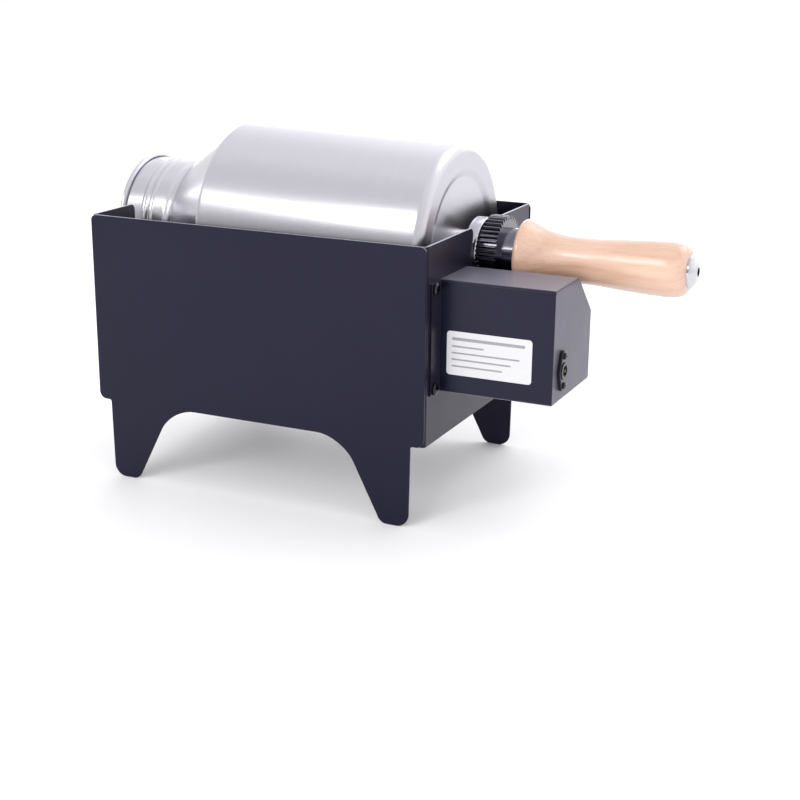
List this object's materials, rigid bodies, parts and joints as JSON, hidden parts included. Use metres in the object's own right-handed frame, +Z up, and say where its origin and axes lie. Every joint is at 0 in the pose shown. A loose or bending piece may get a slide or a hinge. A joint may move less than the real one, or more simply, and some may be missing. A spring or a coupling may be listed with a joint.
{
  "type": "drum coffee roaster",
  "caption": "Table-top drum coffee roaster: a bottle-shaped steel drum with a wooden handle lies in a sheet-metal stand with legs and is turned by a geared motor in a side box.",
  "frame": {"origin": "bottom centre of the whole object's box, on the plane the feet stand on", "axes": "+X along the drum towards the wooden handle, +Y from the front panel to the rear panel, +Z up"},
  "size_m": [0.3736, 0.17, 0.2221],
  "materials": {
    "powder_coat": "smooth satin coat",
    "drum_steel": "fine turned stainless steel",
    "turned_steel": "turned steel",
    "bearing_steel": "ground bearing steel",
    "screw_steel": "blackened steel",
    "zinc_sheet": "zinc plated",
    "motor_metal": "zinc plated",
    "gear_steel": "blackened steel",
    "roller_plastic": "turned engineering plastic",
    "jack_plastic": "moulded",
    "contact_brass": "plated contact",
    "contact_nickel": "nickel plated",
    "lead_cover": "extruded insulation",
    "beech": "turned and lacquered"
  },
  "bodies": {
    "stand": {"front_panel": "powder_coat", "rear_panel": "powder_coat", "left_end_plate": "powder_coat", "right_end_plate": "powder_coat", "roller_pins": "turned_steel", "motor_cover": "powder_coat", "cover_screws": "screw_steel", "motor_bracket": "zinc_sheet", "bracket_screws": "screw_steel", "gearbox": "motor_metal", "gearbox_screws": "screw_steel", "motor_can": "motor_metal", "motor_terminals": "contact_brass", "power_jack": "jack_plastic", "jack_sleeve": "contact_nickel", "jack_pin": "contact_brass", "jack_screws": "screw_steel", "jack_nuts": "screw_steel", "motor_leads": "lead_cover"},
    "drum_carrier": {"bearing_outer_ring": "bearing_steel", "bearing_shields": "bearing_steel"},
    "drum": {"drum_shell": "drum_steel", "drum_vanes": "drum_steel", "drum_shaft": "turned_steel", "bearing_inner_ring": "bearing_steel", "drive_gear": "gear_steel", "gear_set_screw": "screw_steel", "wooden_handle": "beech", "handle_bolt": "turned_steel"},
    "ball_set": {"bearing_balls": "bearing_steel"},
    "pinion": {"drive_pinion": "gear_steel", "output_shaft": "turned_steel"},
    "front_roller": {"front_roller": "roller_plastic"},
    "rear_roller": {"rear_roller": "roller_plastic"}
  },
  "joints": [
    {"name": "drum_lift", "type": "slide", "parent": "stand", "child": "drum_carrier", "axis": [0, 0, 1], "range_m": [0, 0.12]},
    {"name": "drum_spin", "type": "hinge", "parent": "drum_carrier", "child": "drum", "pos_m": [0, 0.0055, 0.1521], "axis": [1, 0, 0], "continuous": true},
    {"name": "ball_roll", "type": "hinge", "parent": "drum_carrier", "child": "ball_set", "pos_m": [0, 0.0055, 0.1521], "axis": [1, 0, 0], "continuous": true},
    {"name": "pinion_spin", "type": "hinge", "parent": "stand", "child": "pinion", "pos_m": [0, -0.0194, 0.12597], "axis": [1, 0, 0], "continuous": true},
    {"name": "front_roller_spin", "type": "hinge", "parent": "stand", "child": "front_roller", "pos_m": [0, -0.02674, 0.11368], "axis": [1, 0, 0], "continuous": true},
    {"name": "rear_roller_spin", "type": "hinge", "parent": "stand", "child": "rear_roller", "pos_m": [0, 0.03774, 0.11368], "axis": [1, 0, 0], "continuous": true}
  ],
  "couplings": [
    {"joint": "ball_roll", "follows": "drum_spin", "ratio": 0.41935},
    {"joint": "pinion_spin", "follows": "drum_spin", "ratio": -1.5714},
    {"joint": "front_roller_spin", "follows": "drum_spin", "ratio": -5.25},
    {"joint": "rear_roller_spin", "follows": "drum_spin", "ratio": -5.25}
  ]
}
